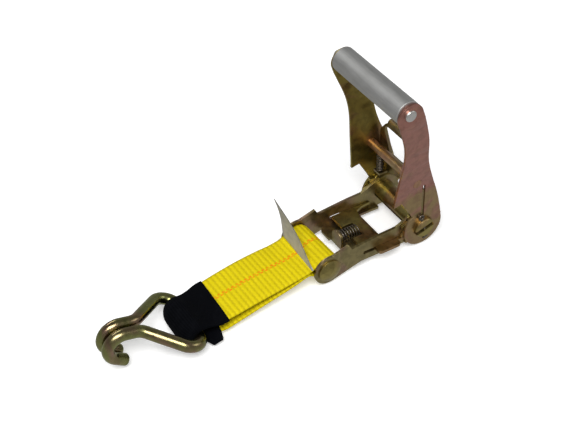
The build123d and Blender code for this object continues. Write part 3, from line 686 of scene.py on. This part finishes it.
def springs():
    """The three coil springs, the drive ones on the handle and the base one on the frame."""
    for side in ("left", "right"):
        spring(f"drive_coil_{side}", f"drive_spring_{side}", "handle")
    spring("base_coil", "base_pawl_spring", "frame")


# ---- metal and plastic -----------------------------------------------------------------------------
def finishes():
    """Materials onto the CAD nodes that stay, and rolled edges onto the stamped ones."""
    wearing = {
        "zinc_near": ("handle_plate_right",),
        "zinc_far": ("handle_plate_left",),
        # the drive pawl wears the frame's darker zinc as painted shade, for its finger loop in shadow
        "zinc_frame": ("base_frame", "bolt_washer", "drive_pawl"),
        "zinc_olive": ("base_pawl", "webbing_bolt", "bolt_cap", "ratchet_wheel_left", "ratchet_wheel_right",
                       "spindle_half_upper", "spindle_half_lower", "bolt_spacer"),
        "zinc_rod": ("cross_rod",),
        "zinc_hook": ("double_j_hook",),
        "spring": ("cotter_pin_left", "cotter_pin_right"),
        "bright": ("grip_bolt", "grip_nut"),
        "grip": ("grip_tube",),
        "plastic": ("grip_plug_left", "grip_plug_right"),
    }
    for material, nodes in wearing.items():
        for node in nodes:
            give(node, MATERIAL[material])
    for node in STAMPED:
        soften_edges(node, STAMPED_EDGE)


MATERIAL = {
    "zinc_frame": zinc("zinc_frame", olive=(0.35, 0.29, 0.13), mauve=(0.38, 0.255, 0.17),
                       dark=(0.1, 0.08, 0.035), shift=(0.0, 0.0, 0.0), mauve_share=0.4),
    # the near plate's rise is a painted reflection change: more mauve towards its top
    "zinc_near": zinc("zinc_near", olive=(0.4, 0.29, 0.14), mauve=(0.47, 0.23, 0.185),
                      dark=(0.22, 0.11, 0.08), shift=(0.3, 0.1, 0.2), mauve_share=0.6, rise=3.0),
    "zinc_far": zinc("zinc_far", olive=(0.34, 0.27, 0.07), mauve=(0.36, 0.2, 0.11),
                     dark=(0.12, 0.09, 0.03), shift=(0.5, 0.7, 0.2), mauve_share=0.35),
    "zinc_olive": zinc("zinc_olive", olive=(0.4, 0.33, 0.11), mauve=(0.4, 0.25, 0.12),
                       dark=(0.11, 0.08, 0.03), shift=(0.7, 0.4, 0.1), mauve_share=0.3),
    "zinc_rod": zinc("zinc_rod", olive=(0.5, 0.38, 0.19), mauve=(0.55, 0.31, 0.19),
                     dark=(0.2, 0.13, 0.06), shift=(0.1, 0.2, 0.6), mauve_share=0.6),
    "zinc_hook": zinc("zinc_hook", olive=(0.29, 0.295, 0.11), mauve=(0.32, 0.2, 0.14),
                      dark=(0.13, 0.125, 0.045), shift=(0.2, 0.9, 0.4), mauve_share=0.3, rough=0.16),
    "bright": plain_metal("bright_zinc", (0.72, 0.71, 0.68), (0.55, 0.54, 0.5), 0.26, (1.0, 1.0, 1.0)),
    "grip": plain_metal("brushed_aluminium", (0.49, 0.49, 0.48), (0.4, 0.4, 0.385), 0.52,
                        (1.0, 0.03, 1.0), 0.00005),
    "spring": spring_wire(),
    "plastic": moulded_plastic(),
    "webbing": webbing_material(),
    "sleeve": sleeve_material(),
    "label": label_material(),
    "floor": floor_material(),
}


# ---- studio ----------------------------------------------------------------------------------------
def stage_floor():
    """Plain pale floor just under the model's lowest point; it takes shadows but lights nothing."""
    size = 6.0
    z = CAD_BOX[0].z - 0.0002
    corners = [(-size, -size, z), (size, -size, z), (size, size, z), (-size, size, z)]
    mesh = bpy.data.meshes.new("floor")
    mesh.from_pydata(corners, [], [(0, 1, 2, 3)])
    mesh.materials.append(MATERIAL["floor"])
    ground = bpy.data.objects.new("floor", mesh)
    bpy.context.scene.collection.objects.link(ground)
    ground.visible_diffuse = False
    ground.visible_glossy = False


def studio_world():
    """Soft grey surround, lighter below, that the camera itself sees as white."""
    world = bpy.data.worlds.new("studio")
    bpy.context.scene.world = world
    world.use_nodes = True
    tree = world.node_tree
    sky = tree.nodes["Background"]
    way = tree.nodes.new("ShaderNodeTexCoord")
    height = tree.nodes.new("ShaderNodeSeparateXYZ")
    fade = tree.nodes.new("ShaderNodeMapRange")
    shade = tree.nodes.new("ShaderNodeValToRGB")
    seen = tree.nodes.new("ShaderNodeLightPath")
    mix = tree.nodes.new("ShaderNodeMix")
    mix.data_type = "RGBA"
    tree.links.new(way.outputs["Generated"], height.inputs["Vector"])
    tree.links.new(height.outputs["Z"], fade.inputs["Value"])
    fade.inputs["From Min"].default_value = -1.0
    tree.links.new(fade.outputs["Result"], shade.inputs["Fac"])
    stops = shade.color_ramp.elements
    stops.new(0.5)
    for stop, grey in zip(stops, (0.5, 0.32, 0.12)):
        stop.color = (grey, grey, grey, 1.0)
    tree.links.new(seen.outputs["Is Camera Ray"], mix.inputs[0])
    tree.links.new(shade.outputs["Color"], mix.inputs[6])
    mix.inputs[7].default_value = (1.0, 1.0, 1.0, 1.0)
    tree.links.new(mix.outputs[2], sky.inputs["Color"])


def lamp(name, place, width, depth, power):
    """An area light that looks at the middle of the object."""
    data = bpy.data.lights.new(name, "AREA")
    data.shape = "RECTANGLE"
    data.size = width
    data.size_y = depth
    data.energy = power
    made = bpy.data.objects.new(name, data)
    made.location = place
    made.rotation_euler = (LAMP_AIM - Vector(place)).to_track_quat("-Z", "Y").to_euler()
    bpy.context.scene.collection.objects.link(made)


def camera():
    """The camera, high on the near side and towards the hook."""
    data = bpy.data.cameras.new("camera")
    data.lens = 68.23
    data.sensor_width = 36.0
    data.clip_start = 0.01
    data.clip_end = 50.0
    made = bpy.data.objects.new("camera", data)
    ahead = Vector((0.35109, 0.63732, -0.68598)).normalized()
    up = Vector((0.38799, 0.56774, 0.72604))
    up = (up - ahead * up.dot(ahead)).normalized()
    turned = Matrix((ahead.cross(up), up, -ahead)).transposed().to_4x4()
    made.matrix_world = Matrix.Translation((-0.43857, -0.57327, 0.66783)) @ turned
    bpy.context.scene.collection.objects.link(made)
    bpy.context.scene.camera = made


# ---- the object, then its stage ----------------------------------------------------------------------
finishes()
springs()
webbing()
sleeve()
label()

stage_floor()
studio_world()
lamp("key", (-0.6, -0.7, 1.4), 1.2, 0.8, 28.0)
lamp("fill", (1.3, -0.7, 0.9), 0.9, 0.6, 3.0)
lamp("back", (-0.3, 1.3, 1.0), 0.9, 0.25, 4.0)
camera()
bpy.context.scene.view_settings.view_transform = "Standard"
